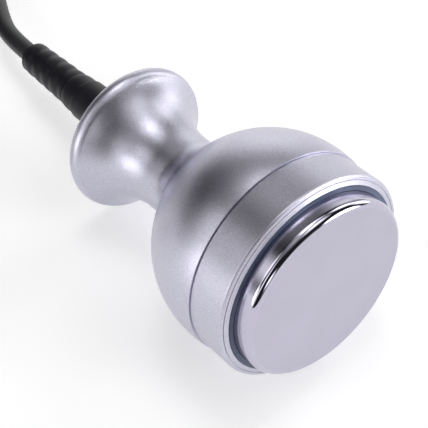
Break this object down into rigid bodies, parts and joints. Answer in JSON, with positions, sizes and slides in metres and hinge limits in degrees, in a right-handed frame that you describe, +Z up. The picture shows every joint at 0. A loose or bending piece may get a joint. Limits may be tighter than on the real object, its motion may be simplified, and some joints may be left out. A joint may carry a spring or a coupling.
{
  "type": "ultrasonic cavitation handpiece",
  "caption": "Hand-held ultrasonic body-treatment head: round flat steel face, collar, bell, waist and knob, ribbed cord sleeve, coiled lead and round screw-ring connector.",
  "frame": {"origin": "centre of the handpiece's bounding box at table height, without the free cord and its connector", "axes": "+Z up from the table; +Y along the handpiece from the treatment face to the cord; the handle axis dips towards the cord because the handpiece lies on its bell and on its knob's rim"},
  "size_m": [0.1129, 0.2995, 0.0723],
  "materials": {
    "satin_aluminium": "satin, fine bead blast",
    "polished_steel": "mirror polished side, satin face",
    "blue_grey_plastic": "semi-gloss",
    "black_rubber": "satin",
    "seal_rubber": "matte",
    "black_cord": "satin jacket",
    "machined_aluminium": "turned",
    "machined_steel": "turned",
    "zinc_steel": "zinc plated",
    "piezo_ceramic": "sintered, silvered faces",
    "copper_foil": "bright",
    "ptfe": "translucent white",
    "red_insulation": "PVC",
    "white_insulation": "PVC",
    "solder": "bright",
    "nylon": "moulded",
    "plug_metal": "nickel plated, satin",
    "contact_gold": "gold plated",
    "tie_fabric": "hook and loop tape"
  },
  "bodies": {
    "root": {"treatment_head": "polished_steel", "insulating_ring": "blue_grey_plastic", "front_collar": "satin_aluminium", "rear_seal_ring": "seal_rubber", "handle_shell": "satin_aluminium", "cap_seal_ring": "seal_rubber", "knob_cap": "satin_aluminium", "bend_protector": "black_rubber", "cord_clamp_upper": "nylon", "cord_clamp_lower": "nylon", "cord_clamp_screws": "zinc_steel", "front_mass": "machined_aluminium", "piezo_ring_front": "piezo_ceramic", "electrode_hot": "copper_foil", "piezo_ring_rear": "piezo_ceramic", "electrode_ground": "copper_foil", "back_mass": "machined_steel", "bolt_washer": "zinc_steel", "clamp_bolt": "zinc_steel", "bolt_sleeve": "ptfe", "hot_lead": "red_insulation", "ground_lead": "white_insulation", "hot_solder": "solder", "ground_solder": "solder", "cord_in_handle": "black_cord", "cord_end_sleeve": "seal_rubber", "cord": "black_cord", "cord_coil": "black_cord", "cord_tail": "black_cord", "cord_tie": "tie_fabric", "plug_shell": "plug_metal", "plug_snap_ring": "zinc_steel", "plug_insert": "nylon", "plug_contacts": "contact_gold", "plug_wires": "white_insulation", "plug_back_nut": "plug_metal", "plug_boot": "black_rubber", "cord_in_plug": "black_cord"},
    "coupling_ring_body": {"coupling_ring": "plug_metal"}
  },
  "joints": [
    {"name": "coupling_spin", "type": "hinge", "parent": "root", "child": "coupling_ring_body", "pos_m": [-0.067, 0.06315, 0.0095], "axis": [0, 1, 0], "continuous": true}
  ]
}
